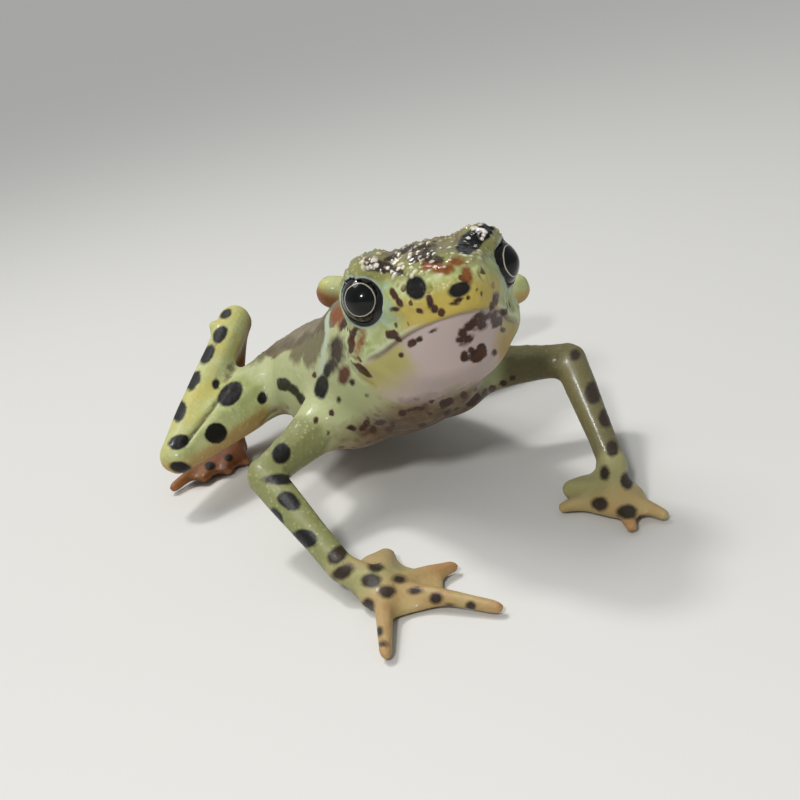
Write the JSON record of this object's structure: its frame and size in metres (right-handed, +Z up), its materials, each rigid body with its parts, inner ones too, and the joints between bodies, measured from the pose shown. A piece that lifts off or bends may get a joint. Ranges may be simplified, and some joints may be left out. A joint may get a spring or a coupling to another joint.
{
  "type": "rio pescado stubfoot toad",
  "caption": "Life-size still model of a slender, long-legged spotted toad, sitting with its front raised on straight arms and its knees drawn up at its sides",
  "frame": {"origin": "on the floor, under the middle of the box round the toad", "axes": "+Z up, the toad faces -Y, its own right side is at -X"},
  "size_m": [0.0328, 0.0424, 0.0184],
  "materials": {
    "skin": "moist, finely warty toad skin, yellow-green with near-black spots, orange hands and feet and a pale throat",
    "eye": "wet gloss"
  },
  "bodies": {
    "root": {"torso": "skin", "head": "skin", "eye_right": "eye", "eye_left": "eye", "upper_arm_right": "skin", "upper_arm_left": "skin", "forearm_right": "skin", "forearm_left": "skin", "hand_right": "skin", "hand_left": "skin", "thigh_right": "skin", "thigh_left": "skin", "shank_right": "skin", "shank_left": "skin", "tarsus_right": "skin", "tarsus_left": "skin", "foot_right": "skin", "foot_left": "skin"}
  },
  "joints": []
}
